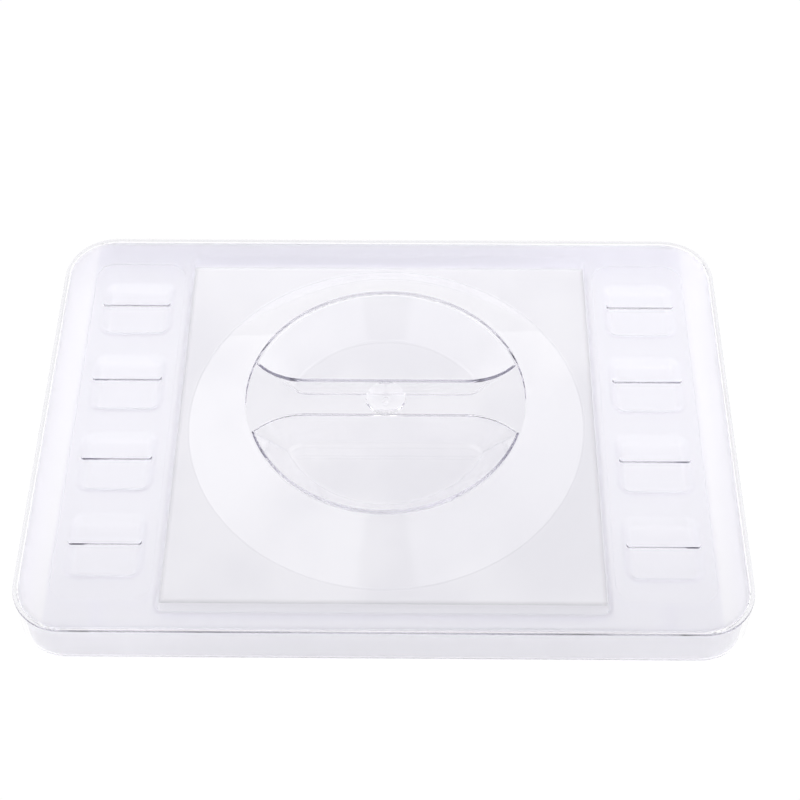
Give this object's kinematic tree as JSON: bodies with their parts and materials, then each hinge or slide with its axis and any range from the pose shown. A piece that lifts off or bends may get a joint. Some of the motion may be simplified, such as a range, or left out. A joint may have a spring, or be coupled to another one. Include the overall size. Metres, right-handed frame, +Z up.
{
  "type": "wet palette",
  "caption": "Clear wet palette: shallow tray with side paint wells, sponge and palette paper in its basin, under a lift-off lid with a round finger grip.",
  "frame": {"origin": "centre of the tray's underside, on the table", "axes": "+X along the long side to the right, +Y to the back, +Z up"},
  "size_m": [0.35, 0.2486, 0.0423],
  "materials": {
    "clear_lid": "clear polished polystyrene moulding",
    "clear_tray": "clear polystyrene moulding with a satin face",
    "sponge": "open-pored cellulose sponge",
    "palette_paper": "smooth matt paper"
  },
  "bodies": {
    "tray": {"tray": "clear_tray", "sponge": "sponge", "palette_paper": "palette_paper"},
    "lid": {"lid": "clear_lid"}
  },
  "joints": [
    {"name": "lid_lift", "type": "slide", "parent": "tray", "child": "lid", "axis": [0, 0, 1], "range_m": [0, 0.06]}
  ]
}
